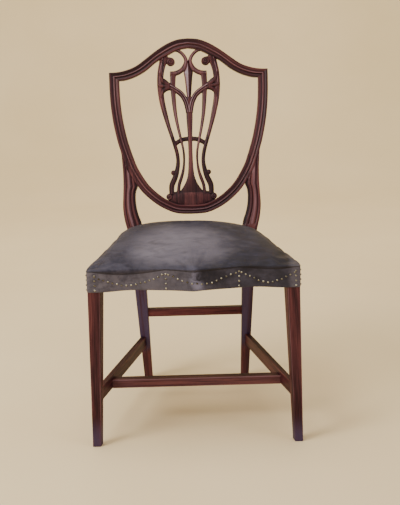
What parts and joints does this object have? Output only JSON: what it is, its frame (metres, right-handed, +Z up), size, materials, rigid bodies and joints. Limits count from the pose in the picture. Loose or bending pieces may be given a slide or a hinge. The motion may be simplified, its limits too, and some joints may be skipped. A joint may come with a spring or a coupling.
{
  "type": "shield back dining chair",
  "caption": "Wooden dining chair with a shield-shaped back, a pierced scrolling splat, a stuffed leather seat with a serpentine front, tapered legs and low stretchers.",
  "frame": {"origin": "floor level, under the middle of the chair's bounding box", "axes": "+Z up, the sitter faces -Y, +X to the sitter's left, which is the viewer's right from the front"},
  "size_m": [0.5196, 0.5548, 0.9921],
  "materials": {
    "mahogany": "polished reddish-brown mahogany",
    "beech": "bare pale wood",
    "leather": "slate-grey leather with a soft sheen",
    "jute": "woven jute webbing",
    "hessian": "coarse open weave",
    "horsehair": "curled hair stuffing under calico"
  },
  "bodies": {
    "root": {"front_leg_right": "mahogany", "front_leg_left": "mahogany", "rear_post_right": "mahogany", "rear_post_left": "mahogany", "crest_rail": "mahogany", "crest_dowel_right": "beech", "crest_dowel_left": "beech", "shield_lower_rail": "mahogany", "splat": "mahogany", "front_rail": "beech", "side_rail_right": "beech", "side_rail_left": "beech", "rear_rail": "beech", "front_rail_peg_right": "beech", "front_rail_peg_left": "beech", "side_rail_front_peg_right": "beech", "side_rail_front_peg_left": "beech", "side_rail_rear_peg_right": "beech", "side_rail_rear_peg_left": "beech", "rear_rail_peg_right": "beech", "rear_rail_peg_left": "beech", "front_corner_block_right": "beech", "front_corner_block_left": "beech", "rear_corner_block_right": "beech", "rear_corner_block_left": "beech", "side_stretcher_right": "mahogany", "side_stretcher_left": "mahogany", "medial_stretcher": "mahogany", "rear_stretcher": "mahogany", "webbing_lengthwise_1": "jute", "webbing_lengthwise_2": "jute", "webbing_lengthwise_3": "jute", "webbing_crosswise_1": "jute", "webbing_crosswise_2": "jute", "webbing_crosswise_3": "jute", "base_cloth": "hessian", "seat_pad": "horsehair", "leather_cover": "leather"}
  },
  "joints": []
}
